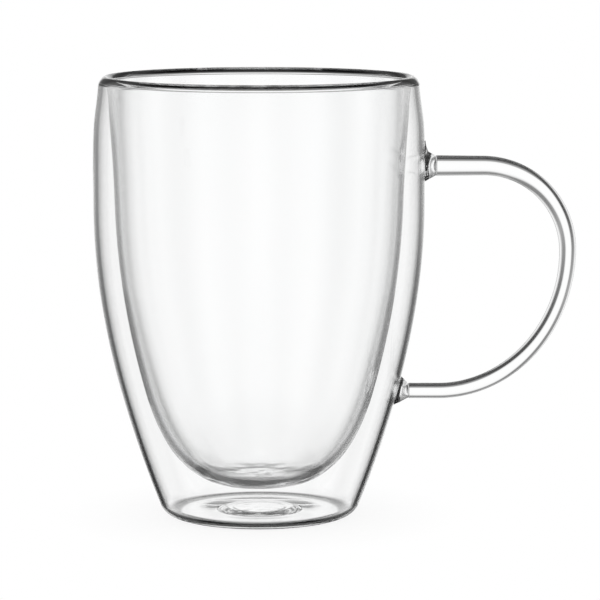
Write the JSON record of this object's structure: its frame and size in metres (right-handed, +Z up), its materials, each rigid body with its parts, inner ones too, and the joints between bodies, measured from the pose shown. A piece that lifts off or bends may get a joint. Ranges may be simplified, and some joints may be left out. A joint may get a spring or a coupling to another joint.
{
  "type": "double walled mug",
  "caption": "Clear glass mug with an air space between an inner cup and an outer wall fused at the rim, and a bent glass rod handle; keeps a drink hot and the hand cool.",
  "frame": {"origin": "on the cup's axis, in the plane that the foot ring stands on", "axes": "+Z up along the cup's axis, +X towards the handle, Y across the handle"},
  "size_m": [0.1278, 0.0878, 0.117],
  "materials": {
    "blown_glass": "clear borosilicate, blown and fire polished",
    "rod_glass": "clear borosilicate rod, bent hot and fire polished"
  },
  "bodies": {
    "root": {"inner_cup": "blown_glass", "outer_shell": "blown_glass", "rim_bead": "blown_glass", "vent_seal": "blown_glass", "handle_rod": "rod_glass", "upper_handle_pad": "rod_glass", "lower_handle_pad": "rod_glass"}
  },
  "joints": []
}
